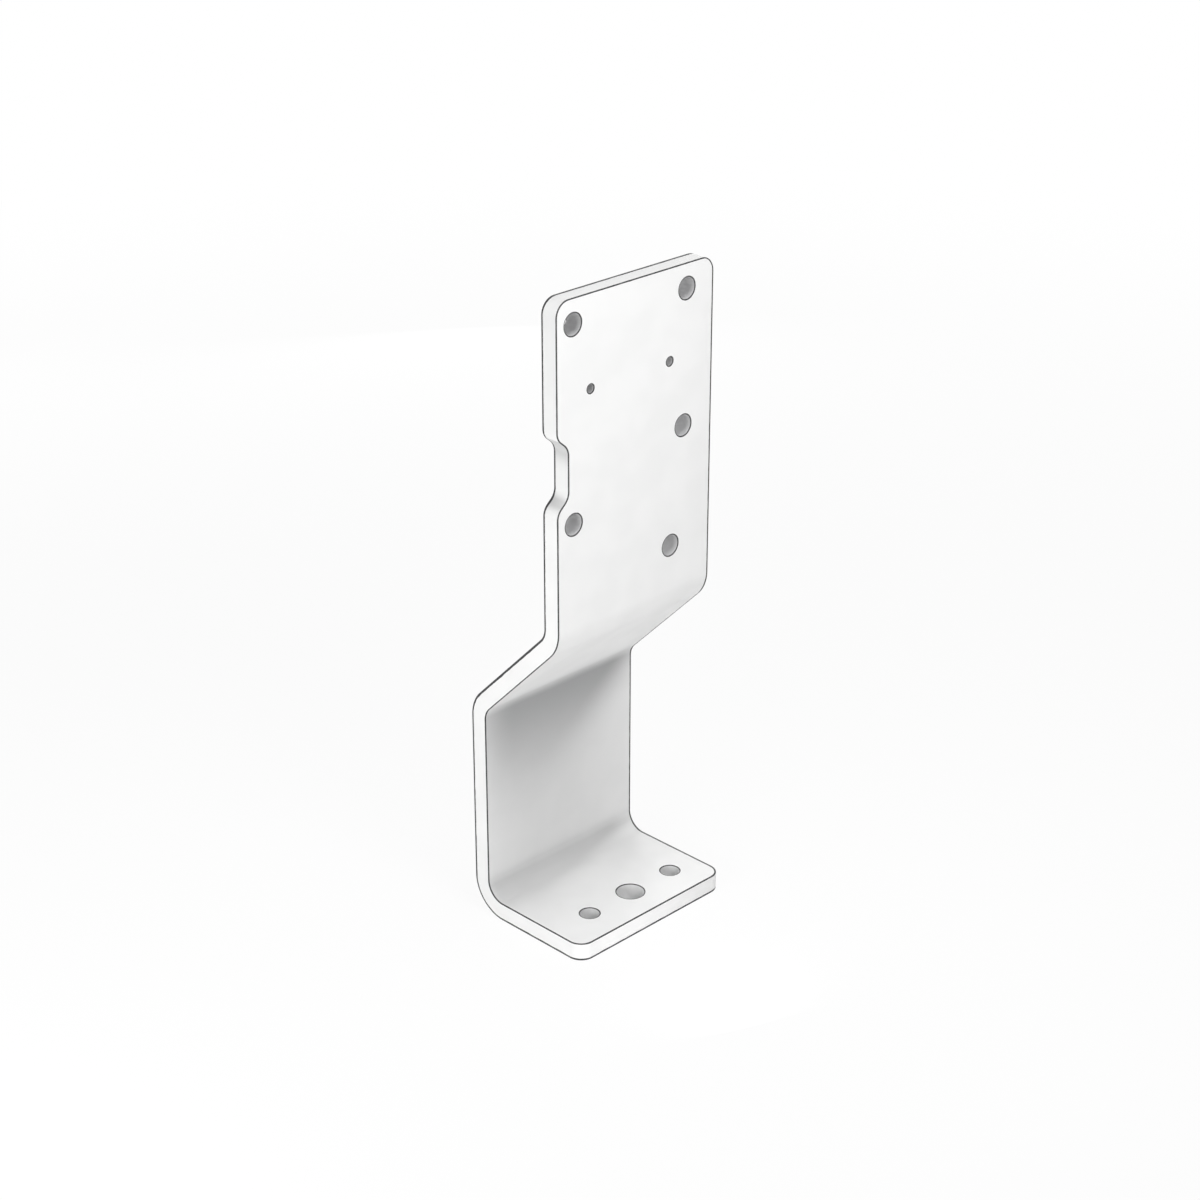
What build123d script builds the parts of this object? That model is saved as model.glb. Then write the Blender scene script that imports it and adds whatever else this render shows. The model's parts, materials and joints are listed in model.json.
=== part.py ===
from build123d import *
import os
from math import radians, tan

# Engine mount bracket: one strip of steel plate, cut to its outline, folded three times and drilled.
# A short foot stands on the engine's rubber mount, a web rises from its back edge, and two opposite
# folds step the plate forward to the tall upper plate, which is bolted to the engine.
# Frame: the origin is the centre of the foot's stud hole, on the underside of the foot. +X runs along
# the width to the right, seen from the front, +Y runs to the back, and +Z is up. The foot points to -Y.
# All sizes are in millimetres.

# The strip
plate_width = 79.0
plate_thickness = 7.5
foot_bend_radius = 7.5  # on the inside of the fold
joggle_bend_radius = 7.5  # on the inside of the two folds of the step
foot_corner_radius = 6.0
top_corner_radius = 6.0
edge_break = 0.4  # rounding left on the cut edges after deburring

# The folded shape, seen from the side and measured to the sharp corners that the folds round off
foot_length = 58.75  # from the foot's tip to the back face of the web
web_rise = 81.0  # from the foot's top face to the sloping stretch, on the front face
joggle_step = 40.25  # how far the upper plate's front face stands before the web's
joggle_angle = 45.0  # between the sloping stretch and the vertical, in degrees
upper_height = 131.0  # from the sloping stretch to the top edge, on the front face

# The foot's holes: one for the rubber mount's stud, and a smaller one on each side of it
stud_hole_diameter = 11.0
side_hole_diameter = 7.7
foot_hole_spacing = 22.5
stud_hole_from_left = 42.0
stud_hole_from_tip = 15.0

# The engine's bolt holes: the top left one is placed from the plate's edges, the others from it
bolt_hole_diameter = 8.2
top_left_from_side = 8.0
top_left_from_top = 9.5
top_right_across = 57.0
middle_right_across = 56.0
middle_right_down = 52.0
lower_left_down = 74.5
lower_right_across = 50.0
lower_right_down = 98.0

# Two small holes between them, also placed from the top left bolt hole
small_hole_diameter = 3.2
small_holes_across = 8.5
small_holes_down = 25.5
small_hole_spacing = 40.0

# The relief in the upper plate's left edge
relief_from_top = 50.0
relief_mouth = 28.0
relief_floor = 18.5
relief_depth = 5.5
relief_corner_radius = 5.5

# Planes and heights that follow from the sizes above
left_side = -stud_hole_from_left
foot_tip = -stud_hole_from_tip
web_back = foot_tip + foot_length
web_front = web_back - plate_thickness
upper_front = web_front - joggle_step
slope_foot = plate_thickness + web_rise
slope_head = slope_foot + joggle_step / tan(radians(joggle_angle))
top_edge = slope_head + upper_height


def folded_strip():
    """The full width of the strip: its front face is a path with three folds, and its back face
    runs one plate thickness behind that path, so the inside and outside of a fold share a centre."""
    front_face = FilletPolyline(
        (foot_tip, plate_thickness),
        (web_front, plate_thickness),
        (web_front, slope_foot),
        (upper_front, slope_head),
        (upper_front, top_edge),
        radius=[foot_bend_radius, joggle_bend_radius, joggle_bend_radius + plate_thickness],
    )
    side_view = Wire(front_face.edges()).offset_2d(plate_thickness, side=Side.RIGHT, closed=True)
    profile = Plane((left_side, 0, 0), x_dir=(0, 1, 0), z_dir=(1, 0, 0)) * make_face(side_view)
    return extrude(profile, amount=plate_width)


def with_round_corners(plate):
    """Rounds the foot's two free corners and the upper plate's two."""
    foot_corners = plate.edges().filter_by(Axis.Z).filter_by_position(Axis.Z, 0, plate_thickness)
    plate = fillet(foot_corners, foot_corner_radius)
    top_corners = plate.edges().filter_by(Axis.Y).group_by(Axis.Z)[-1]
    return fillet(top_corners, top_corner_radius)


def with_edge_relief(plate):
    """Cuts the relief in the left edge: a flat floor, two slanted flanks and four rounded corners."""
    mouth_top = top_edge - relief_from_top
    mouth_bottom = mouth_top - relief_mouth
    flank = (relief_mouth - relief_floor) / 2
    floor = left_side + relief_depth
    outline = Polyline(
        (left_side, mouth_bottom),
        (floor, mouth_bottom + flank),
        (floor, mouth_top - flank),
        (left_side, mouth_top),
        close=True,
    )
    front = Plane((0, upper_front, 0), x_dir=(1, 0, 0), z_dir=(0, -1, 0))
    plate -= extrude(front * make_face(outline), amount=-plate_thickness)
    through_edges = plate.edges().filter_by(Axis.Y)
    corners = through_edges.filter_by_position(Axis.Z, mouth_bottom - 0.01, mouth_top + 0.01)
    return fillet(corners, relief_corner_radius)


def sharp_edges(solid):
    """The edges where two faces meet at an angle. Where a flat runs on smoothly into a fold or a
    rounded corner, the line between them isn't one."""
    faces = solid.faces()
    sharp = ShapeList()
    for edge in solid.edges():
        middle = edge @ 0.5
        normals = [face.normal_at(middle) for face in faces if edge in face.edges()]
        if abs(normals[0].dot(normals[-1])) < 0.9:
            sharp.append(edge)
    return sharp


def foot_drills():
    """The three holes of the foot, in a row along its width."""
    foot = Plane((0, 0, plate_thickness / 2))
    stud = Cylinder(stud_hole_diameter / 2, plate_thickness)
    side = Cylinder(side_hole_diameter / 2, plate_thickness)
    return [foot * stud, foot * Pos(X=-foot_hole_spacing) * side, foot * Pos(X=foot_hole_spacing) * side]


def upper_drills():
    """The five bolt holes and two small holes of the upper plate, across and down from the top
    left bolt hole."""
    middle_of_plate = upper_front + plate_thickness / 2
    first = (left_side + top_left_from_side, middle_of_plate, top_edge - top_left_from_top)
    pattern = Plane(first, x_dir=(1, 0, 0), z_dir=(0, -1, 0))
    bolt = Cylinder(bolt_hole_diameter / 2, plate_thickness)
    small = Cylinder(small_hole_diameter / 2, plate_thickness)
    bolt_holes = [
        (0, 0),
        (top_right_across, 0),
        (middle_right_across, middle_right_down),
        (0, lower_left_down),
        (lower_right_across, lower_right_down),
    ]
    small_holes = [
        (small_holes_across, small_holes_down),
        (small_holes_across + small_hole_spacing, small_holes_down),
    ]
    drills = [pattern * Pos(across, -down) * bolt for across, down in bolt_holes]
    return drills + [pattern * Pos(across, -down) * small for across, down in small_holes]


bracket = with_edge_relief(with_round_corners(folded_strip()))
bracket = fillet(sharp_edges(bracket), edge_break)
bracket -= foot_drills() + upper_drills()

os.makedirs("parts", exist_ok=True)
export_step(bracket, "parts/bracket_plate.step")
print("size", bracket.bounding_box().size)
print("volume in cubic centimetres", round(bracket.volume / 1000, 2))
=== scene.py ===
# %% [markdown]
# # An engine mount bracket, folded from one steel plate
# The bracket is a thick steel plate that was cut to its outline, drilled, folded three times and
# powder coated white. Its construction is fixed: the frame below is the finished part at its real
# size, in metres, with +Z up and the foot pointing to -Y. This file gives it a finer surface, its
# finish and plain studio light, and it never moves or resizes what the frame holds.
# %% Load the frame
import json
import math

import bpy
import numpy as np
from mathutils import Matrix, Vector, geometry


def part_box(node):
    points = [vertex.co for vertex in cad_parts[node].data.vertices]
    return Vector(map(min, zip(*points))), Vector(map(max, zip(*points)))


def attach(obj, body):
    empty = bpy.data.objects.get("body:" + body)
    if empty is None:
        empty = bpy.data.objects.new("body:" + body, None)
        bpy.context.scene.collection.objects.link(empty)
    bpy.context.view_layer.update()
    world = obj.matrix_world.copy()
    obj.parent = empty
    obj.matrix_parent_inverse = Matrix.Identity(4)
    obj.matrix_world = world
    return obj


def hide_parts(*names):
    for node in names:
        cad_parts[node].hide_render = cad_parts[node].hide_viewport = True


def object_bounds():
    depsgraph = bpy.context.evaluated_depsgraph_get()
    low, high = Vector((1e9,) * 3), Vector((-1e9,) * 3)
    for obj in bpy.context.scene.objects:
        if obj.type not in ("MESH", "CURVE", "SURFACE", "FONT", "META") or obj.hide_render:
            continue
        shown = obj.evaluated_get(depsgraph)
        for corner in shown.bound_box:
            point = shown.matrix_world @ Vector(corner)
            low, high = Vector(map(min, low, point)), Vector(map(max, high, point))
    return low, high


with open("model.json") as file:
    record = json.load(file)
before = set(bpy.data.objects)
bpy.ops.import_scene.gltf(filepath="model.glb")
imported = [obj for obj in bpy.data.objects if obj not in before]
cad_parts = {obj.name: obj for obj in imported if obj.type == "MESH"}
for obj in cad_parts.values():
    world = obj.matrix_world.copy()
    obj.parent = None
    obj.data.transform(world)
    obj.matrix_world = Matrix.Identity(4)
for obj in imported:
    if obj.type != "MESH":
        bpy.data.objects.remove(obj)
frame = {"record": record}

frame_low, frame_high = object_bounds()
print("frame box", tuple(round(x, 5) for x in frame_low), tuple(round(x, 5) for x in frame_high))

# %% [markdown]
# ## Sizes that the frame gives
# A good dressing starts from the part itself. The plate's corners come from its box, its thickness
# is the length of a hole that goes straight through, and the holes' centres and radii are the
# mounts of the record. So nothing that was measured once is typed in twice.
# %% Read the sizes from the frame
MM = 0.001
mounts = {mount["name"]: mount for mount in frame["record"]["mounts"]}
plate_low, plate_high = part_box("bracket_plate")
left, foot_tip, underside = plate_low
right, web_back, top_edge = plate_high
thickness = mounts["foot_stud_hole"]["dims"]["length_mm"] * MM
web_front = web_back - thickness
upper_front = mounts["upper_front_face"]["pos_m"][1]
foot_top = underside + thickness
print(f"plate {right - left:.4f} wide, {top_edge:.4f} tall, {thickness:.4f} thick")

# %% [markdown]
# ## Sizes of the folds, corners and edges
# The rest are a folder's and a cutter's few settings. Each fold is given by its inside radius, and
# the slope by the height at which it leaves the web and by its angle. The edges were broken by
# hand after cutting: a small round on the outline, and a lighter one on the mouths of the holes.
# %% Name the sizes of the folds and corners
foot_fold_radius = 7.5 * MM
step_fold_radius = 7.5 * MM
step_angle = math.radians(45)
step_start = 88.5 * MM  # height of the sharp corner that the web's upper fold rounds off
corner_radius = 6.0 * MM
relief_from_top = 50.0 * MM
relief_mouth = 28.0 * MM
relief_floor = 18.5 * MM
relief_depth = 5.5 * MM
relief_corner_radius = 5.5 * MM
edge_round = 0.4 * MM
hole_round = 0.15 * MM
step_end = step_start + (web_front - upper_front) / math.tan(step_angle)
print(f"the slope climbs from {step_start:.4f} to {step_end:.4f}")

# %% [markdown]
# ## The folded line
# A folder sees the bracket from the side, as a line of straight stretches and arcs. If every
# stretch is given by its length and by how far it turns, one formula serves both kinds: a stretch
# of length L that turns by an angle a ends at a chord of length L sin(a/2) / (a/2), and the chord
# points along the mean of the first and last heading. With a = 0 the chord is the straight line.
# %% Work out the stretches of the front face's line
sharp_corners = np.array([
    (foot_tip, foot_top),
    (web_front, foot_top),
    (web_front, step_start),
    (upper_front, step_end),
    (upper_front, top_edge),
])
fold_turn = np.array([math.pi / 2, step_angle, -step_angle])
fold_radius = np.array([foot_fold_radius, step_fold_radius, step_fold_radius + thickness])
fold_trim = fold_radius * np.tan(np.abs(fold_turn) / 2)
leg_length = np.linalg.norm(np.diff(sharp_corners, axis=0), axis=1)
straight_length = leg_length - np.append(fold_trim, 0) - np.append(0, fold_trim)

stretch_count = len(straight_length) + len(fold_turn)
stretch_length = np.zeros(stretch_count)
stretch_length[0::2] = straight_length
stretch_length[1::2] = fold_radius * np.abs(fold_turn)
stretch_turn = np.zeros(stretch_count)
stretch_turn[1::2] = fold_turn
stretch_from = np.append(0, np.cumsum(stretch_length)[:-1])
stretch_heading = np.append(0, np.cumsum(stretch_turn)[:-1])
blank_length = stretch_length.sum()
print("stretches of the front face, in mm:", np.round(stretch_length / MM, 2))


def chord(length, turn, heading):
    """The step from the start of a stretch to its end: length times sin(turn/2) / (turn/2), along
    the heading at half the turn. numpy's sinc(x) is sin(pi x) / (pi x), and 1 at 0."""
    reach = length * np.sinc(turn / (2 * math.pi))
    return np.stack([reach * np.cos(heading + turn / 2), reach * np.sin(heading + turn / 2)], axis=-1)


stretch_steps = chord(stretch_length, stretch_turn, stretch_heading)
stretch_start = sharp_corners[0] + np.vstack([np.zeros(2), np.cumsum(stretch_steps, axis=0)[:-1]])
line_end = stretch_start[-1] + stretch_steps[-1]
print("the line ends at", np.round(line_end, 5), "and should at", sharp_corners[-1])

# %% [markdown]
# ## From the flat blank to the folded plate
# The whole surface is drawn on the flat blank, where outlines and holes are simple, and then
# folded by one function of three numbers: u across the plate, s along its front face from the
# foot's tip, and n into the plate from that face. A fold keeps its centre for every depth, so the
# inside and the outside of a fold stay parallel, as in a real plate.
# %% Write the folding function


def stretch_at(s):
    """The stretch that holds each s, the length run in it, and the turn made there so far."""
    stretch = np.clip(np.searchsorted(stretch_from, s, side="right") - 1, 0, stretch_count - 1)
    run = s - stretch_from[stretch]
    return stretch, run, run * stretch_turn[stretch] / stretch_length[stretch]


def along_and_into(s):
    """Two unit directions at s: along the front face's line, and square to it into the plate. With
    h the heading they are (0, cos h, sin h) and (0, sin h, -cos h)."""
    stretch, run, turned = stretch_at(s)
    heading = stretch_heading[stretch] + turned
    nothing = np.zeros_like(heading)
    along = np.stack([nothing, np.cos(heading), np.sin(heading)], axis=-1)
    into = np.stack([nothing, np.sin(heading), -np.cos(heading)], axis=-1)
    return along, into


def fold(u, s, n):
    """Places points of the blank on the folded plate: the start of the point's stretch, plus the
    chord of the length run in it, plus n times the direction into the plate, with u kept as x."""
    u, s, n = np.broadcast_arrays(u, s, n)
    stretch, run, turned = stretch_at(s)
    line = stretch_start[stretch] + chord(run, turned, stretch_heading[stretch])
    into = along_and_into(s)[1]
    place = n[..., None] * into
    place[..., 0] += u
    place[..., 1:] += line
    return place


print("top corner of the blank folds to", np.round(fold(left, blank_length, thickness), 5))

# %% [markdown]
# ## Rows along the blank
# A fold looks round only if the mesh has a row of edges at every few degrees of it. The flats need
# far fewer rows, because they stay flat. The same rows serve the long sides and both faces.
# %% Choose the rows
fold_step = math.radians(4.5)
flat_row = 8.0 * MM


def rows_of(stretch):
    """Even steps along one stretch: a fold turns by fold_step in each, a flat is flat_row long."""
    turn, length = abs(stretch_turn[stretch]), stretch_length[stretch]
    count = max(1, round(turn / fold_step)) if turn else max(1, round(length / flat_row))
    return stretch_from[stretch] + np.linspace(0, length, count + 1)


fold_rows = np.concatenate([rows_of(stretch) for stretch in range(1, stretch_count, 2)])
flat_rows = np.concatenate([rows_of(stretch)[1:-1] for stretch in range(0, stretch_count, 2)])
side_rows = np.sort(np.concatenate([fold_rows, flat_rows]))
print(len(side_rows), "rows along the blank,", len(fold_rows), "of them in the folds")

# %% [markdown]
# ## Outlines on the blank
# A cut outline is a closed run of straight lines and arcs. It is drawn here with the material on
# its left, so that the direction into the material is always the travel turned by a quarter to
# the left. Each corner needs only its sharp point and its radius, and the arc follows from the
# same chord formula as the folds. The long sides also get a point at every row.
# %% Write the outline functions
arc_steps = 10
least_climb = 1.0 * MM  # a straight run that climbs less gets no points at the rows
end_share = 0.02  # no row gives a point nearer to a run's end than this share of the run


def rounded_outline(corners, radii, rows):
    """Points and inward directions of a closed outline. At each corner the travel turns by t, and
    the arc of radius r starts r tan(|t|/2) before it. The straight runs get a point at each row."""
    corners, radii = np.array(corners), np.array(radii)
    arriving = corners - np.roll(corners, 1, axis=0)
    arriving /= np.linalg.norm(arriving, axis=1, keepdims=True)
    leaving = np.roll(arriving, -1, axis=0)
    heading = np.arctan2(arriving[:, 1], arriving[:, 0])
    turn = np.arctan2(
        arriving[:, 0] * leaving[:, 1] - arriving[:, 1] * leaving[:, 0], (arriving * leaving).sum(axis=1)
    )
    trim = (radii * np.tan(np.abs(turn) / 2))[:, None]
    part = np.linspace(0, 1, arc_steps + 1)[None, :]
    turned = turn[:, None] * part
    arcs = (corners - arriving * trim)[:, None, :]
    arcs = arcs + chord(np.abs(turned) * radii[:, None], turned, heading[:, None] + 0 * part)
    final = heading[:, None] + turned
    inward = np.stack([-np.sin(final), np.cos(final)], axis=-1)
    points, directions = [], []
    for corner, arc in enumerate(arcs):
        start, end = arc[-1], arcs[(corner + 1) % len(arcs)][0]
        climb = end[1] - start[1]
        share = np.sort((rows - start[1]) / climb) if abs(climb) > least_climb else np.empty(0)
        share = share[(share > end_share) & (share < 1 - end_share)][:, None]
        points += [arc, start + share * (end - start)]
        directions += [inward[corner], np.repeat(inward[corner][-1:], len(share), axis=0)]
    return np.concatenate(points), np.concatenate(directions)


def hole_outline(centre, radius, steps):
    """A circle run clockwise, so that the material is on the left and inward is away from the
    centre: centre + radius (cos a, sin a), with a falling from 0."""
    angle = -np.arange(steps) * 2 * math.pi / steps
    inward = np.stack([np.cos(angle), np.sin(angle)], axis=-1)
    return np.array(centre) + radius * inward, inward


# %% [markdown]
# ## The blank's own outline
# Eight sharp corners describe the blank: two at the foot's tip, two at the top, and four of the
# relief that lets a pipe or a boss pass the left edge.
# %% Draw the blank's outline
relief_top = blank_length - relief_from_top
relief_bottom = relief_top - relief_mouth
relief_flank = (relief_mouth - relief_floor) / 2
blank_corners = [
    (left, 0),
    (right, 0),
    (right, blank_length),
    (left, blank_length),
    (left, relief_top),
    (left + relief_depth, relief_top - relief_flank),
    (left + relief_depth, relief_bottom + relief_flank),
    (left, relief_bottom),
]
blank_radii = [corner_radius] * 4 + [relief_corner_radius] * 4
outlines = [rounded_outline(blank_corners, blank_radii, side_rows)]
print("blank", round(blank_length / MM, 2), "mm long, outline of", len(outlines[0][0]), "points")

# %% [markdown]
# ## The holes on the blank
# A mount gives a hole's centre on the folded plate. On the foot the distance along the blank is
# the distance from the tip, and on the upper plate it is counted back from the top edge.
# %% Draw the holes from the mounts
hole_steps = 72
small_hole_steps = 40
small_hole_limit = 2.0 * MM
foot_bore_bareness_painted_light = 0.78  # the foot's bores are painted lighter, for light falling in from above; the others are wholly bare


def mount_holes(mount):
    """The centre on the blank, the radius and the bareness of each hole of a bore or a row."""
    x, y, z = mount["pos_m"]
    dims = mount["dims"]
    radius = dims.get("r_mm", dims.get("hole_r_mm")) * MM
    half_row = dims.get("spacing_x_mm", 0) * MM / 2
    on_foot = abs(mount["axis"][2]) > 0.5
    s = y - foot_tip if on_foot else blank_length - (top_edge - z)
    bare = foot_bore_bareness_painted_light if on_foot else 1.0
    return [((x + side * half_row, s), radius, bare) for side in ((-1, 1) if half_row else (0,))]


holes = []
for mount in mounts.values():
    if mount["kind"] in ("bore", "bolt_pattern"):
        holes += mount_holes(mount)
bareness = [0.0]  # one value for each outline, and the first is that of the blank's own
for centre, radius, bare in holes:
    bareness.append(bare)
    steps = small_hole_steps if radius < small_hole_limit else hole_steps
    outlines.append(hole_outline(centre, radius, steps))
hole_radii = sorted({round(radius / MM, 2) for centre, radius, bare in holes})
print(len(holes), "holes, with radii in mm", hole_radii)

# %% [markdown]
# ## The cut edge's section
# Looked at end on, the cut edge is a short flat of the front face, a quarter round, the wall, a
# second quarter round and a short flat of the back face. One angle runs through it all, the tilt:
# 0 faces the front, 90 degrees faces out of the cut, and 180 faces the back. A quarter round of
# radius r lies r (1 - sin tilt) inside the outline and r (1 - cos tilt) below its face.
# %% Write the section of a cut edge
round_steps = 4
wall_steps = 3
flat_margin = 1.6 * MM
line_ring = 0.2 * MM


def edge_section(radius):
    """Inset, depth, tilt and distance from the middle of the nearest round, for each ring of the
    section from the front face to the back face. The distance is measured along the surface."""
    quarter = np.linspace(0, math.pi / 2, round_steps + 1)
    flats = np.array([flat_margin, radius + line_ring])
    inset = np.concatenate([flats, radius * (1 - np.sin(quarter))])
    depth = np.concatenate([0 * flats, radius * (1 - np.cos(quarter))])
    tilt = np.concatenate([0 * flats, quarter])
    half_arc = radius * math.pi / 4
    away = np.concatenate([flats - radius + half_arc, np.abs(radius * quarter - half_arc)])
    wall = np.concatenate([[radius + line_ring], np.linspace(0, thickness, wall_steps + 2)[1:-1]])
    wall = np.append(wall, thickness - wall[0])
    wall_away = np.minimum(wall, thickness - wall) - radius + half_arc
    return (
        np.concatenate([inset, 0 * wall, inset[::-1]]),
        np.concatenate([depth, wall, thickness - depth[::-1]]),
        np.concatenate([tilt, 0 * wall + math.pi / 2, math.pi - tilt[::-1]]),
        np.concatenate([away, wall_away, away[::-1]]),
    )


print("section of a cut edge with", len(edge_section(edge_round)[0]), "rings")

# %% [markdown]
# ### The width of the line along an edge
# Every edge of the coated plate shows a thin darker line, and it isn't equally wide everywhere. So
# each point of a cut surface gets a width, from the side that it faces and from its place in the
# section. The finish reads it further below.
# %% Write the width of the line
# Half widths of the darker line along an edge: where it lies on the front face, on the cut beside
# that, on the cut beside the back face, and on the back face. They differ so that the line looks as
# heavy as in the photograph also on the surfaces that it shows at a glancing angle.
left_line = np.array([0.36, 0.26, 0.90, 0.32]) * MM
right_line = np.array([0.80, 0.32, 0.40, 0.32]) * MM
top_line = np.array([0.36, 0.26, 1.35, 0.32]) * MM
tip_line = np.array([0.42, 0.28, 0.90, 0.32]) * MM
hole_line = np.array([0.40, 0.22, 0.22, 0.30]) * MM
# The first value on the right is multiplied by these, on the foot, on the uprights and on the slope.
right_line_growth = [1.2, 1.0, 1.7]


def line_widths(outline, inward, depth, tilt, is_hole):
    """The half width of the edge's line at each point of a cut surface. Along the outline, a side's
    share is the square of how far the point faces it, and on the right the line on the front face
    grows with the turn away from the upright. Across it, the four values hold one after another."""
    part = (tilt > math.pi / 4).astype(int) + (depth > thickness / 2) + (tilt > 3 * math.pi / 4)
    if is_hole:
        return np.tile(hole_line[part], (len(outline), 1))
    out = -inward[:, :, None]
    stretch, run, turned = stretch_at(outline[:, 1])
    lean = stretch_heading[stretch] + turned - math.pi / 2
    right_side = np.tile(right_line, (len(outline), 1))
    right_side[:, 0] *= np.interp(lean, [-math.pi / 2, 0, step_angle], right_line_growth)
    widths = np.maximum(-out[:, 0], 0) ** 2 * left_line + np.maximum(out[:, 0], 0) ** 2 * right_side
    widths += np.maximum(out[:, 1], 0) ** 2 * top_line + np.maximum(-out[:, 1], 0) ** 2 * tip_line
    return widths[:, part]


narrowest, widest = 2 * hole_line.min() / MM, 2 * top_line.max() / MM
print(f"lines of {narrowest:.2f} to {widest:.2f} mm before the growth on the right")

# %% [markdown]
# ## Carry the section round every outline
# The cut surface is the section carried along the outline: outline point plus inset times the
# inward direction, at the section's depth, and then folded. The true direction that the surface
# faces is known at every point, so it is kept and given to the mesh later. That way a round of
# four steps shades like a perfect one.
# %% Write the cut surface


def cut_surface(outline, inward, section):
    """A grid of places, one row for each outline point and one column for each ring of the section,
    with the direction faced: sin tilt times outward minus cos tilt times into the plate."""
    inset, depth, tilt, away = section
    flat_place = outline[:, None, :] + inset[None, :, None] * inward[:, None, :]
    place = fold(flat_place[..., 0], flat_place[..., 1], depth[None, :])
    along, into = along_and_into(outline[:, 1])
    outward = -inward[:, 1:2] * along
    outward[:, 0] -= inward[:, 0]
    out_share, front_share = np.sin(tilt)[None, :, None], np.cos(tilt)[None, :, None]
    facing = out_share * outward[:, None, :] - front_share * into[:, None, :]
    return flat_place, place, facing


def grid_quads(rows, columns):
    """Corner numbers of the quads of a grid that closes on itself after its last row. Their order
    makes them face out of the cut."""
    row = np.arange(rows)[:, None]
    column = np.arange(columns - 1)[None, :]
    after = (row + 1) % rows
    corners = [
        row * columns + column,
        row * columns + column + 1,
        after * columns + column + 1,
        after * columns + column,
    ]
    return np.stack(corners, axis=-1).reshape(-1, 4)


def outline_distance(outline):
    """Length of the closed outline up to each point, with the whole length at the end."""
    steps = np.linalg.norm(np.roll(outline, -1, axis=0) - outline, axis=1)
    return np.append(0, np.cumsum(steps))


# %% [markdown]
# ## Fill the front and the back face
# Inside the innermost rings lie the two faces. They are one flat sheet with holes, filled once on
# the blank by a constrained Delaunay triangulation: every ring, and one line across the plate for
# each row of a fold, has to be an edge of it. The same triangles then serve the front face and,
# turned over, the back face. A point belongs to the sheet if the rings wind once round it.
# %% Find the inner points of the sheet
columns_across = 11
clear_of_rings = 3.0 * MM


def winding(points, rings):
    """How often the rings run round each point: the angles seen from it to the ring's points,
    added up with their sign and divided by a full turn. It is 1 in the sheet and 0 in a hole."""
    turns = np.zeros(len(points))
    for ring in rings:
        seen = ring[None, :, :] - points[:, None, :]
        angle = np.arctan2(seen[..., 1], seen[..., 0])
        change = np.roll(angle, -1, axis=1) - angle
        turns += ((change + math.pi) % (2 * math.pi) - math.pi).sum(axis=1)
    return turns / (2 * math.pi)


def inner_points(rings):
    """A grid of points for the middle of the sheet: every fold row in full, and on the flats those
    that lie well clear of all rings."""
    across = np.linspace(left + flat_margin, right - flat_margin, columns_across)[1:-1]
    on_folds = np.stack(np.meshgrid(across, fold_rows), axis=-1).reshape(-1, 2)
    on_flats = np.stack(np.meshgrid(across, flat_rows), axis=-1).reshape(-1, 2)
    ring_points = np.concatenate(rings)
    gap = np.linalg.norm(on_flats[:, None, :] - ring_points[None, :, :], axis=-1).min(axis=1)
    inside = winding(on_flats, rings) > 0.5
    return np.concatenate([on_folds, on_flats[(gap > clear_of_rings) & inside]])


# %% [markdown]
# ### The triangles between the rings
# The triangulation gets all points and the edges that it has to keep. It fills the holes and the
# relief as well, so only the triangles whose middle lies in the sheet are taken from it.
# %% Write the face filling
on_line = 1e-7  # how near to a line a point counts as on it
merge_within = 1e-6  # in millimetres, because the triangulation gets its points in them


def fill_sheet(rings):
    """Triangles of the sheet between the rings. Returns the points, ring after ring and then the
    inner ones, and three point numbers for each triangle."""
    points = np.concatenate(rings + [inner_points(rings)])
    edges, first = [], 0
    for ring in rings:
        number = first + np.arange(len(ring))
        edges += np.stack([number, np.roll(number, -1)], axis=-1).tolist()
        first += len(ring)
    sides = rings[0]
    on_left = np.abs(sides[:, 0] - (left + flat_margin)) < on_line
    on_right = np.abs(sides[:, 0] - (right - flat_margin)) < on_line
    for row in fold_rows:
        on_row = np.abs(sides[:, 1] - row) < on_line
        edges.append([int(np.argmax(on_row & on_left)), int(np.argmax(on_row & on_right))])
    made = geometry.delaunay_2d_cdt((points / MM).tolist(), edges, [], 0, merge_within, True)
    made_points, made_faces, sources = made[0], made[2], made[3]
    if len(made_points) != len(points):
        raise ValueError("the triangulation added or merged points, so two lines of it cross or touch")
    given = np.array([source[0] for source in sources])
    triangles = given[np.array(made_faces)]
    return points, triangles[winding(points[triangles].mean(axis=1), rings) > 0.5]


# %% [markdown]
# ## Put the bracket together
# All cut surfaces and both faces become one closed mesh. Values are stored with its points for the
# finish: how far a point lies from the middle of the nearest broken edge and how wide the line is
# there, how bare a bore it is in, how much it faces the front or out of a cut, and how far along
# the blank it lies. A flat map unrolls the cuts and the faces at their real size.
# %% Gather the cut surfaces
places, facings, polygons, maps = [], [], [], []
stored = {"edge_away": [], "line_width": [], "in_bore": [], "on_cut": [], "to_front": [], "along": []}
rings, front_ids, back_ids, used = [], [], [], 0


def store(**values):
    """Adds one array of point values to each list."""
    for key, value in values.items():
        stored[key].append(value)


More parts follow.
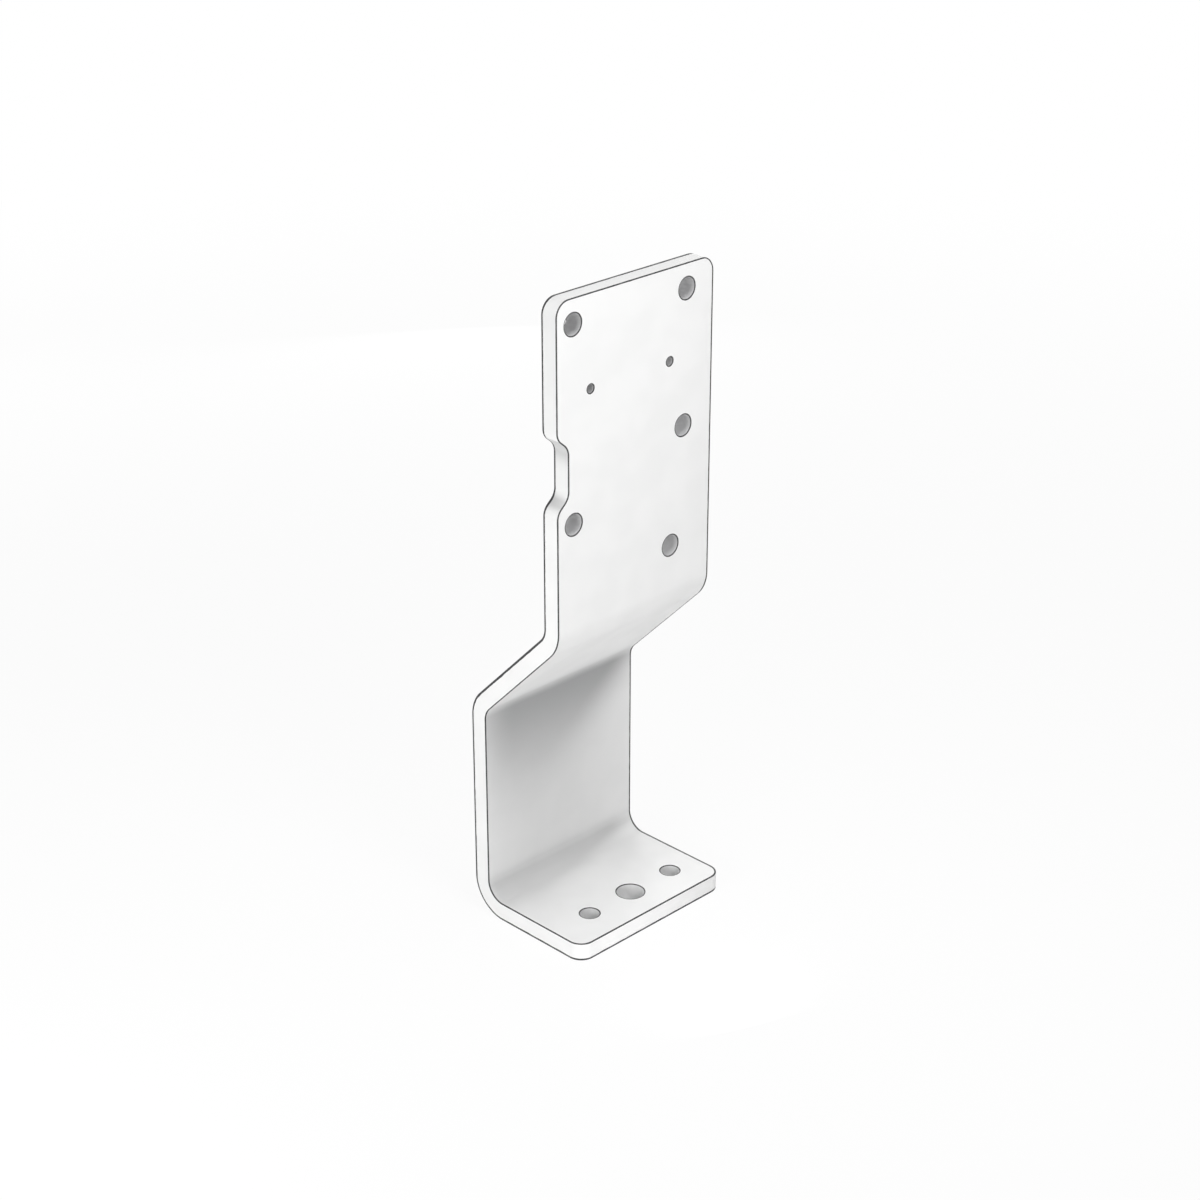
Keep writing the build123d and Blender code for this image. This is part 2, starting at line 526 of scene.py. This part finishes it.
for number, (outline, inward) in enumerate(outlines):
    section = edge_section(hole_round if number else edge_round)
    inset, depth, tilt, away = section
    flat_place, place, facing = cut_surface(outline, inward, section)
    rows, columns = place.shape[:2]
    quads = grid_quads(rows, columns)
    distance = outline_distance(outline)
    row, column = np.divmod(quads, columns)
    row[:, 2:] = row[:, :1] + 1
    maps.append(np.stack([distance[row], depth[column]], axis=-1).reshape(-1, 2))
    polygons += (quads + used).tolist()
    places.append(place.reshape(-1, 3))
    facings.append(facing.reshape(-1, 3))
    store(
        edge_away=np.tile(away, rows),
        line_width=line_widths(outline, inward, depth, tilt, number > 0).ravel(),
        in_bore=np.tile(np.sin(tilt), rows) * bareness[number],
        on_cut=np.tile(np.sin(tilt), rows),
        to_front=np.tile(np.cos(tilt), rows),
        along=flat_place[..., 1].ravel(),
    )
    rings.append(flat_place[:, 0, :])
    front_ids.append(used + np.arange(rows) * columns)
    back_ids.append(used + np.arange(rows) * columns + columns - 1)
    used += rows * columns
print(used, "points and", len(polygons), "quads in the cut surfaces")

# %% [markdown]
# ## Add the two faces
# Each cut surface ends in a ring on either face, and the filled sheet uses the points of those
# rings, so that the mesh is closed. Only the inner points are new: they are folded once at no depth
# for the front face, and once at the plate's thickness for the back.
# %% Gather the two faces
sheet_points, triangles = fill_sheet(rings)
middle = sheet_points[sum(len(ring) for ring in rings):]
for depth, ids, sign in ((0.0, front_ids, -1), (thickness, back_ids, 1)):
    places.append(fold(middle[:, 0], middle[:, 1], depth))
    facings.append(sign * along_and_into(middle[:, 1])[1])
    ids.append(used + np.arange(len(middle)))
    used += len(middle)
    facing_out = triangles if sign < 0 else triangles[:, ::-1]
    polygons += np.concatenate(ids)[facing_out].tolist()
    maps.append(sheet_points[facing_out].reshape(-1, 2))
    nothing = np.zeros(len(middle))
    store(
        edge_away=nothing + flat_margin,
        line_width=nothing + hole_line[0],
        in_bore=nothing,
        on_cut=nothing,
        to_front=nothing - sign,
        along=middle[:, 1],
    )
print(used, "points,", len(polygons), "faces,", len(triangles), "triangles on each face")

# %% [markdown]
# ## Make the mesh
# The points and faces go into one mesh, whose object stays at the origin. The true directions
# become its normals, so that the shading is exact. The new piece then stands for the frame's
# plate and rides on the part's only body.
# %% Make the bracket's object


def make_mesh(name, points, faces, normals, flat_map, values):
    """A mesh with its own normals, one UV map and named values on its points."""
    mesh = bpy.data.meshes.new(name)
    mesh.from_pydata(points.tolist(), [], faces)
    mesh.polygons.foreach_set("use_smooth", np.ones(len(faces), bool))
    layer = mesh.uv_layers.new(name="unrolled")
    layer.data.foreach_set("uv", flat_map.astype(np.float32).ravel())
    for key, value in values.items():
        attribute = mesh.attributes.new(key, "FLOAT", "POINT")
        attribute.data.foreach_set("value", value.astype(np.float32))
    mesh.update()
    mesh.normals_split_custom_set_from_vertices(normals.tolist())
    if mesh.validate(verbose=False):
        raise ValueError(f"{name} had faces or edges that are not valid")
    return mesh


def add_object(name, data):
    """A new object that is linked into the scene."""
    made = bpy.data.objects.new(name, data)
    bpy.context.scene.collection.objects.link(made)
    return made


bracket_mesh = make_mesh(
    "bracket",
    np.concatenate(places),
    polygons,
    np.concatenate(facings),
    np.concatenate(maps),
    {key: np.concatenate(values) for key, values in stored.items()},
)
bracket = add_object("bracket", bracket_mesh)
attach(bracket, "root")
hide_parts("bracket_plate")
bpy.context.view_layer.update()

# %% [markdown]
# ## The finish, in named effects
# White powder coat is a satin skin, never quite flat: it sets with a faint orange peel. It draws
# back from sharp edges while it flows, so every edge of a coated plate shows as a thin darker
# line. The bores were plugged and got no coat: they have the matt grey of phosphated steel, with
# faint rings from the drill, and their grey is also set to stand in for the shade inside the holes.
# Each of these is a node group with its own inputs, so that it can be tuned or used again by itself.
# %% Helpers for nodes


def new_group(name, inputs, outputs):
    """An empty node group. inputs gives each input's default, where None stands for a vector that
    is always linked, and outputs are the names of its numbers. Returns the group and the sockets
    that its nodes are linked from and to."""
    group = bpy.data.node_groups.new(name, "ShaderNodeTree")
    for key, value in inputs.items():
        kind = "NodeSocketVector" if value is None else "NodeSocketFloat"
        socket = group.interface.new_socket(key, in_out="INPUT", socket_type=kind)
        if value is not None:
            socket.default_value = value
    for key in outputs:
        group.interface.new_socket(key, in_out="OUTPUT", socket_type="NodeSocketFloat")
    return group, group.nodes.new("NodeGroupInput").outputs, group.nodes.new("NodeGroupOutput").inputs


def node(tree, kind, links=(), **values):
    """One node with its options set. links are (input name or number, source socket or value)."""
    made = tree.nodes.new(kind)
    for key, value in values.items():
        setattr(made, key, value)
    for key, source in links:
        if isinstance(source, bpy.types.NodeSocket):
            tree.links.new(source, made.inputs[key])
        else:
            made.inputs[key].default_value = source
    return made


# %% [markdown]
# ### Sums, ramps and noises
# Most effects come down to three things: a sum of numbers, a soft step from 0 to 1, and a noise.
# Each gets a function that returns a socket, so that the groups below read like formulas.
# %% Helpers for numbers and noises


def maths(tree, operation, *sources):
    """A Math node's output, for up to three numbers or sockets."""
    return node(tree, "ShaderNodeMath", list(enumerate(sources)), operation=operation).outputs[0]


def ramp(tree, value, low, high):
    """0 below low and 1 above high, with a smooth rise between them."""
    links = [("Value", value), ("From Min", low), ("From Max", high)]
    made = node(tree, "ShaderNodeMapRange", links, interpolation_type="SMOOTHSTEP")
    return made.outputs["Result"]


def noise(tree, vector, scale, detail):
    """A noise between 0 and 1, and the same noise less its mean of 1/2."""
    links = [("Vector", vector), ("Scale", scale), ("Detail", detail)]
    value = node(tree, "ShaderNodeTexNoise", links).outputs["Fac"]
    return value, maths(tree, "SUBTRACT", value, 0.5)


# %% [markdown]
# ### Orange peel
# Two noises of different size, one for the peel's dimples and one for the slow swell under them.
# The group puts out a height in metres and a slow shade for tiny changes of colour and gloss.
# %% Orange peel group


def make_orange_peel():
    """Height = dimples (noise - 1/2) + swell (noise - 1/2), and the slow noise itself as a shade."""
    tree, given, put_out = new_group("orange_peel", {
        "Vector": None,
        "Dimple Size": 1.6 * MM, "Dimple Depth": 6e-6,
        "Swell Size": 14 * MM, "Swell Depth": 2e-5,
    }, ["Height", "Shade"])
    heights = []
    for size, depth, detail in (("Dimple Size", "Dimple Depth", 2.0), ("Swell Size", "Swell Depth", 1.0)):
        scale = maths(tree, "DIVIDE", 1.0, given[size])
        value, centred = noise(tree, given["Vector"], scale, detail)
        heights.append(maths(tree, "MULTIPLY", centred, given[depth]))
    tree.links.new(maths(tree, "ADD", *heights), put_out["Height"])
    tree.links.new(value, put_out["Shade"])
    return tree


orange_peel = make_orange_peel()
print("made", orange_peel.name)

# %% [markdown]
# ### The line along an edge
# The mesh knows how far each point is from the middle of the nearest broken edge. The line covers
# what is nearer than its half width, which a noise makes a little wider or narrower from place to
# place, as the coat's own pull does.
# %% Edge line group


def make_edge_line():
    """Line = 1 where the distance is under the half width times (1 + unevenness (noise - 1/2)), and
    0 beyond it, with a smooth fall over Softness to either side."""
    tree, given, put_out = new_group("edge_line", {
        "Vector": None,
        "Distance": 1.0, "Half Width": 0.3 * MM, "Softness": 0.06 * MM,
        "Unevenness": 0.4, "Run": 4 * MM,
    }, ["Line"])
    scale = maths(tree, "DIVIDE", 1.0, given["Run"])
    centred = noise(tree, given["Vector"], scale, 2.0)[1]
    change = maths(tree, "MULTIPLY_ADD", centred, given["Unevenness"], 1.0)
    width = maths(tree, "MULTIPLY", given["Half Width"], change)
    low = maths(tree, "SUBTRACT", width, given["Softness"])
    high = maths(tree, "ADD", width, given["Softness"])
    outside = ramp(tree, given["Distance"], low, high)
    tree.links.new(maths(tree, "SUBTRACT", 1.0, outside), put_out["Line"])
    return tree


edge_line = make_edge_line()
print("made", edge_line.name)

# %% [markdown]
# ### Painted shade in the inside corners
# The coat is painted a darker grey where shade falls in an inside corner: in the foot's fold, in the
# two inner corners of the relief, and most of all on the web in the lee of the step, where the
# painted shade fades out slowly downwards. It lifts again towards the open sides, most on the right.
# The group reads how far along the blank a point lies, so that one group serves them all.
# %% Painted shade group
fade_power = 1.5


def make_painted_shade():
    """Painted Shade = Strength x fade x inner. Along the blank, fade is 1 between From and To, and
    outside it exp(-(short / Before)^1.5 - (past / After)^1.5), with short and past the distances to
    From and To. Across it, inner is a rise from the left side, between Left Start and Left Reach,
    times one from the right side, between Right Start + Growth short / 2 and Right Reach + Growth
    short. A slow noise shifts the place along the blank by up to Wander / 2."""
    tree, given, put_out = new_group("painted_shade", {
        "Vector": None,
        "Along": 0.0, "From": 0.0, "To": 0.0, "Before": 8 * MM, "After": 8 * MM, "Strength": 1.0,
        "Left": left, "Left Start": -3 * MM, "Left Reach": 6 * MM,
        "Right": right, "Right Start": -8 * MM, "Right Reach": 20 * MM,
        "Growth": 0.0, "Wander": 1.5 * MM, "Run": 30 * MM,
    }, ["Thin"])
    scale = maths(tree, "DIVIDE", 1.0, given["Run"])
    centred = noise(tree, given["Vector"], scale, 1.0)[1]
    along = maths(tree, "MULTIPLY_ADD", centred, given["Wander"], given["Along"])
    short = maths(tree, "MAXIMUM", maths(tree, "SUBTRACT", given["From"], along), 0.0)
    past = maths(tree, "MAXIMUM", maths(tree, "SUBTRACT", along, given["To"]), 0.0)
    losses = []
    for distance, reach in ((short, "Before"), (past, "After")):
        losses.append(maths(tree, "POWER", maths(tree, "DIVIDE", distance, given[reach]), fade_power))
    fade = maths(tree, "EXPONENT", maths(tree, "MULTIPLY", maths(tree, "ADD", *losses), -1.0))

    x = node(tree, "ShaderNodeSeparateXYZ", [(0, given["Vector"])]).outputs["X"]
    left_gap = maths(tree, "SUBTRACT", x, given["Left"])
    from_left = ramp(tree, left_gap, given["Left Start"], given["Left Reach"])
    right_gap = maths(tree, "SUBTRACT", given["Right"], x)
    grown = maths(tree, "MULTIPLY", short, given["Growth"])
    low = maths(tree, "MULTIPLY_ADD", grown, 0.5, given["Right Start"])
    high = maths(tree, "ADD", grown, given["Right Reach"])
    from_right = ramp(tree, right_gap, low, high)

    level = maths(tree, "MULTIPLY", fade, maths(tree, "MULTIPLY", from_left, from_right))
    tree.links.new(maths(tree, "MULTIPLY", level, given["Strength"]), put_out["Thin"])
    return tree


painted_shade = make_painted_shade()
print("made", painted_shade.name)

# %% [markdown]
# ### Marks of the tools
# A drill leaves rings that run round a bore, and a cutting jet leaves fine lines that run across
# the plate's thickness. Both are a noise that is stretched along the mark, read from the unrolled
# map: its first number is the way round the cut, and its second the depth.
# %% Tool marks group


def make_tool_marks():
    """Height = Depth (noise - 1/2), and the noise itself as a shade. The noise is read at the map's
    two numbers times Round Scale and Depth Scale, so that it is long where its scale is low."""
    tree, given, put_out = new_group("tool_marks", {
        "Map": None,
        "Round Scale": 100.0, "Depth Scale": 100.0, "Depth": 4e-6,
    }, ["Height", "Shade"])
    scales = node(tree, "ShaderNodeCombineXYZ", [("X", given["Round Scale"]), ("Y", given["Depth Scale"])])
    links = [(0, given["Map"]), (1, scales.outputs[0])]
    stretched = node(tree, "ShaderNodeVectorMath", links, operation="MULTIPLY").outputs[0]
    value, centred = noise(tree, stretched, 1.0, 3.0)
    tree.links.new(maths(tree, "MULTIPLY", centred, given["Depth"]), put_out["Height"])
    tree.links.new(value, put_out["Shade"])
    return tree


tool_marks = make_tool_marks()
print("made", tool_marks.name)

# %% [markdown]
# ### Small helpers for a material
# A material starts as an empty tree, and picks up what the groups and the mesh offer: a group's
# outputs, and the values that are stored with the mesh's points. Two layers are then mixed by a
# mask, once for their colours and once for their roughness or height.
# %% Helpers for materials


def empty_tree(owner):
    """Turns on the nodes of a material or of a world, and clears them."""
    owner.use_nodes = True
    owner.node_tree.nodes.clear()
    return owner.node_tree


def use_group(tree, group, links):
    """The outputs of a node group, placed in the tree with its own values."""
    return node(tree, "ShaderNodeGroup", links, node_tree=group).outputs


def point_value(tree, name):
    """A value that is stored with the points of the mesh."""
    return node(tree, "ShaderNodeAttribute", attribute_name=name).outputs["Fac"]


def mix_colour(tree, factor, first, second):
    """The first colour where factor is 0, and the second where it is 1. A Mix node has sockets for
    every kind of value under the same names, so they are taken by number."""
    links = [(0, factor), (6, first), (7, second)]
    return node(tree, "ShaderNodeMix", links, data_type="RGBA").outputs[2]


def mix_number(tree, factor, first, second):
    """The same for numbers."""
    links = [(0, factor), (2, first), (3, second)]
    return node(tree, "ShaderNodeMix", links, data_type="FLOAT").outputs[0]


# %% [markdown]
# ### The places of painted shade
# Each place is a face and the settings of the painted shade group there, fitted to the shade that
# the photograph shows. Where a place ends is told by the stretches of the blank and by the relief.
# %% Name the places of painted shade
floor_top, floor_bottom = relief_top - relief_flank, relief_bottom + relief_flank


def place_along(number):
    """How far along the blank a place lies: 1.25 is a quarter of the way through stretch 1."""
    ends = np.append(stretch_from, blank_length)
    return float(np.interp(number, np.arange(stretch_count + 1), ends))


# The relief lies in the left side, so its two places don't fade out towards that side.
up_to_the_left = {"Left Start": -20 * MM, "Left Reach": -10 * MM, "Right Start": 0.0}
painted_shade_places = [
    # the foot's fold
    ("front", {
        "From": place_along(1.65), "To": place_along(1.75), "Before": 10.4 * MM, "After": 3.2 * MM,
        "Left Start": -8 * MM, "Left Reach": 5 * MM, "Right Start": -13 * MM, "Right Reach": 16 * MM,
        "Growth": 4.8, "Strength": 0.58,
    }),
    # the whole height of the web
    ("front", {
        "From": place_along(2), "To": place_along(3), "Before": 2 * MM, "After": 6.5 * MM,
        "Left Start": -28 * MM, "Left Reach": 31 * MM, "Right Start": -30 * MM, "Right Reach": 44 * MM,
        "Strength": 0.34,
    }),
    # the lee of the step, fading out down the web
    ("front", {
        "From": place_along(3.1), "To": place_along(3.1), "Before": 29 * MM, "After": 4.6 * MM,
        "Left Start": -16 * MM, "Left Reach": 16 * MM, "Right Start": -11 * MM, "Right Reach": 13.5 * MM,
        "Growth": 1.4, "Strength": 0.975,
    }),
    # the back of the step's upper fold
    ("back", {"From": place_along(5), "To": place_along(6), "Strength": 0.25}),
    # the relief's upper inner corner, and its lower one
    ("cut", {
        "From": floor_top - 1.8 * MM, "To": relief_top - 1.3 * MM, "Before": 3.8 * MM, "After": 0.6 * MM,
        "Strength": 0.52, **up_to_the_left,
    }),
    ("cut", {
        "From": floor_bottom - 2.5 * MM, "To": floor_bottom - 1.2 * MM, "Before": 1.6 * MM, "After": 1.3 * MM,
        "Strength": 0.50, **up_to_the_left,
    }),
]
print(len(painted_shade_places), "places with a thin coat")

# %% [markdown]
# ### One mask for all places of painted shade
# A face is found by how squarely a point faces the front, the back or out of a cut. Where places
# overlap, each takes its share of what the others leave unshaded, so the mask never passes 1.
# %% Mask of the painted shade
face_ramp = (0.2, 0.95)


def painted_shade_mask(tree, place):
    """How much shade is painted: 1 - the product of (1 - level) over the places of painted shade, each
    level counted only on its own face."""
    front, cut = point_value(tree, "to_front"), point_value(tree, "on_cut")
    squarely = {"front": front, "back": maths(tree, "MULTIPLY", front, -1.0), "cut": cut}
    faces = {face: ramp(tree, value, *face_ramp) for face, value in squarely.items()}
    along, kept = point_value(tree, "along"), 1.0
    for face, settings in painted_shade_places:
        level = use_group(tree, painted_shade, [("Vector", place), ("Along", along), *settings.items()])["Thin"]
        lost = maths(tree, "MULTIPLY", level, faces[face])
        kept = maths(tree, "MULTIPLY", kept, maths(tree, "SUBTRACT", 1.0, lost))
    return maths(tree, "SUBTRACT", 1.0, kept)


# %% [markdown]
# ## The bracket's material
# One material carries the whole finish. Three masks mix it: the painted shade in the inside corners,
# where a bore is bare, with its grey also standing in for the shade inside the hole, and where the
# line runs along an edge. The heights of the peel and of the tool marks go through one Bump node, so
# that light finds them all on the same surface.
# %% Name the colours and values of the finish
coat_bright = (0.900, 0.900, 0.897, 1)
coat_deep = (0.872, 0.873, 0.870, 1)
# painted shade: the dark grey that stands for the shade in the inside corners
coat_painted_shade = (0.330, 0.332, 0.335, 1)
edge_dark = (0.030, 0.030, 0.032, 1)
# bare steel of the bores, whose grey is also set to stand in for the shade inside the holes
bore_light = (0.69, 0.69, 0.69, 1)
bore_deep = (0.56, 0.56, 0.57, 1)
rough_bright, rough_deep, rough_in_painted_shade = 0.58, 0.64, 0.72
rough_bore_light, rough_bore_deep = 0.50, 0.65
bore_ramp = (0.6, 0.95)
shade_ramp = (0.3, 0.7)
drill_rings = [("Round Scale", 30.0), ("Depth Scale", 4000.0), ("Depth", 6e-6)]
jet_lines = [("Round Scale", 1600.0), ("Depth Scale", 90.0), ("Depth", 8e-6)]
print("coat from", coat_deep[:3], "to", coat_bright[:3])

# %% [markdown]
# ### Mix the layers
# The layers are mixed in the order in which they lie on the plate: the coat with its painted shade,
# the bare steel of the bores over that, its grey also standing in for the shade inside them, and the
# dark line over both.
# %% Make the coated steel


def make_coated_steel():
    """White coat over steel: painted shade in inside corners, gone in the bores, dark along the edges."""
    material = bpy.data.materials.new("white_coat_on_steel")
    tree = empty_tree(material)
    place = node(tree, "ShaderNodeTexCoord").outputs["Object"]
    unrolled = node(tree, "ShaderNodeUVMap", uv_map="unrolled").outputs["UV"]
    peel = use_group(tree, orange_peel, [("Vector", place)])
    drilled = use_group(tree, tool_marks, [("Map", unrolled), *drill_rings])
    jetted = use_group(tree, tool_marks, [("Map", unrolled), *jet_lines])
    away, width = point_value(tree, "edge_away"), point_value(tree, "line_width")
    line = use_group(tree, edge_line, [("Vector", place), ("Distance", away), ("Half Width", width)])["Line"]

    # painted shade in the inside corners, mixed over the coat's colour below
    painted_shade_level = painted_shade_mask(tree, place)
    bore = ramp(tree, point_value(tree, "in_bore"), *bore_ramp)
    shade = ramp(tree, peel["Shade"], *shade_ramp)
    coat = mix_colour(tree, painted_shade_level, mix_colour(tree, shade, coat_deep, coat_bright), coat_painted_shade)
    steel = mix_colour(tree, drilled["Shade"], bore_deep, bore_light)
    colour = mix_colour(tree, line, mix_colour(tree, bore, coat, steel), edge_dark)

    rough_coat = mix_number(tree, painted_shade_level, mix_number(tree, shade, rough_deep, rough_bright), rough_in_painted_shade)
    rough_steel = mix_number(tree, drilled["Shade"], rough_bore_deep, rough_bore_light)
    roughness = mix_number(tree, bore, rough_coat, rough_steel)

    cut_height = maths(tree, "ADD", peel["Height"], jetted["Height"])
    skin_height = mix_number(tree, point_value(tree, "on_cut"), peel["Height"], cut_height)
    height = mix_number(tree, bore, skin_height, drilled["Height"])
    bump = node(tree, "ShaderNodeBump", [("Height", height), ("Strength", 1.0), ("Distance", 1.0)])

    surface = node(tree, "ShaderNodeBsdfPrincipled", [
        ("Base Color", colour), ("Roughness", roughness), ("Metallic", 0.0),
        ("Normal", bump.outputs["Normal"]),
    ])
    node(tree, "ShaderNodeOutputMaterial", [("Surface", surface.outputs["BSDF"])])
    return material


bracket_mesh.materials.append(make_coated_steel())
print("bracket finished in", bracket_mesh.materials[0].name)

# %% [markdown]
# ## Floor
# A large pale disc stands for the studio floor. A bracket that is white on white must still read,
# so for rays from the camera most of the floor's look is a plain white glow of strength 1, and the
# rest is its real lit colour. That keeps the bracket's shadow, but faint. Far out the glow takes
# over wholly, so that the floor meets the white backdrop without a line.
# %% Make the floor
floor_radius = 3.0
floor_gap = 0.05 * MM
floor_rim_points = 96
floor_grey = (0.82, 0.82, 0.82, 1)
white = (1, 1, 1, 1)
floor_glow = 0.92
fade_from, fade_to = 0.25, 1.10
seen_rays = ("Is Camera Ray", "Is Glossy Ray", "Is Transmission Ray")


def seen_directly(tree):
    """1 for rays from the camera, and for those that gloss or glass sends on."""
    path = node(tree, "ShaderNodeLightPath")
    first, second, third = (path.outputs[name] for name in seen_rays)
    return maths(tree, "MAXIMUM", maths(tree, "MAXIMUM", first, second), third)


def make_floor_paint():
    """Lit grey, mixed with a white glow for rays that see the floor, and clear from below."""
    material = bpy.data.materials.new("floor_paint")
    tree = empty_tree(material)
    lit = node(tree, "ShaderNodeBsdfDiffuse", [("Color", floor_grey), ("Roughness", 1.0)])
    glow = node(tree, "ShaderNodeEmission", [("Color", white), ("Strength", 1.0)])
    place = node(tree, "ShaderNodeTexCoord").outputs["Object"]
    out = node(tree, "ShaderNodeVectorMath", [(0, place)], operation="LENGTH").outputs["Value"]
    glow_there = mix_number(tree, ramp(tree, out, fade_from, fade_to), floor_glow, 1.0)
    share = maths(tree, "MULTIPLY", seen_directly(tree), glow_there)
    mixed = node(tree, "ShaderNodeMixShader", [(0, share), (1, lit.outputs[0]), (2, glow.outputs[0])])
    clear = node(tree, "ShaderNodeBsdfTransparent")
    below = node(tree, "ShaderNodeNewGeometry").outputs["Backfacing"]
    one_sided = node(tree, "ShaderNodeMixShader", [(0, below), (1, mixed.outputs[0]), (2, clear.outputs[0])])
    node(tree, "ShaderNodeOutputMaterial", [("Surface", one_sided.outputs[0])])
    return material


rim_angle = np.linspace(0, 2 * math.pi, floor_rim_points, endpoint=False)
floor_points = floor_radius * np.stack([np.cos(rim_angle), np.sin(rim_angle), 0 * rim_angle], axis=-1)
floor_points[:, 2] = underside - floor_gap
floor_mesh = bpy.data.meshes.new("floor")
floor_mesh.from_pydata(floor_points.tolist(), [], [list(range(floor_rim_points))])
floor_mesh.materials.append(make_floor_paint())
floor = add_object("floor", floor_mesh)
print("floor of", floor_radius, "m radius")

# %% [markdown]
# ## Light
# A white bracket is modelled by soft shade alone. A round softbox above whitens the floor and the
# foot, one beside the camera lights the upper plate, and one on the left the cut edge. A small one
# stands low before the foot's tip, and its light also reaches the underside of the step. Two more
# stand behind, for the back and the right cut edge. The room adds an even rest.
# %% Set the room and the lamps
room_light = 0.15
softboxes = {  # place, point aimed at and diameter in metres, and power in watts
    "overhead": ((0.00, -0.12, 0.80), (0.00, 0.00, 0.13), 0.30, 2.16),
    "front": ((-0.05, -0.30, 0.30), (0.00, 0.00, 0.20), 0.20, 0.61),
    "left": ((-0.45, -0.03, 0.13), (-0.04, 0.015, 0.13), 0.30, 1.27),
    "low": ((-0.03, -0.085, 0.012), (0.00, -0.015, 0.004), 0.02, 0.016),
    "back_right": ((0.42, 0.55, 0.20), (0.00, 0.00, 0.13), 0.40, 1.50),
    "back": ((0.02, 0.75, 0.18), (0.00, 0.00, 0.13), 0.40, 0.90),
}


def make_room():
    """A world that lights the bracket evenly with room_light, and looks plain white."""
    world = bpy.data.worlds.new("studio")
    tree = empty_tree(world)
    strength = mix_number(tree, seen_directly(tree), room_light, 1.0)
    background = node(tree, "ShaderNodeBackground", [("Color", white), ("Strength", strength)])
    node(tree, "ShaderNodeOutputWorld", [("Surface", background.outputs[0])])
    return world


def place_softbox(name, place, aim, size, power):
    """A round lamp that shines from its place towards aim, hidden from the camera."""
    data = bpy.data.lights.new(name, "AREA")
    data.shape = "DISK"
    data.size = size
    data.energy = power
    lamp = add_object(name, data)
    lamp.location = place
    lamp.rotation_mode = "QUATERNION"
    lamp.rotation_quaternion = (Vector(place) - Vector(aim)).to_track_quat("Z", "Y")
    lamp.visible_camera = False


bpy.context.scene.world = make_room()
for name, settings in softboxes.items():
    place_softbox(name, *settings)
bpy.context.scene.view_settings.view_transform = "Standard"
print(len(softboxes), "softboxes, room light", room_light)

# %% [markdown]
# ## Camera
# The picture looks at the bracket from 45 degrees to its left and 25 degrees above, square on to
# the middle of its box, through a lens that sees 27 degrees.
# %% Set the camera
view_azimuth = math.radians(-45)
view_elevation = math.radians(25)
view_angle = math.radians(27)
view_distance = 0.93747

middle_of_box = (frame_low + frame_high) / 2
camera_data = bpy.data.cameras.new("camera")
camera_data.sensor_width = 36.0
camera_data.lens = camera_data.sensor_width / 2 / math.tan(view_angle / 2)
camera_data.clip_start = 0.05
camera_data.clip_end = 50.0
camera = add_object("camera", camera_data)
towards_camera = Vector((
    math.sin(view_azimuth) * math.cos(view_elevation),
    -math.cos(view_azimuth) * math.cos(view_elevation),
    math.sin(view_elevation),
))
camera.location = middle_of_box + towards_camera * view_distance
camera.rotation_mode = "QUATERNION"
camera.rotation_quaternion = (-towards_camera).to_track_quat("-Z", "Y")
bpy.context.scene.camera = camera
print("camera at", tuple(round(x, 4) for x in camera.location), "lens", round(camera_data.lens, 2), "mm")
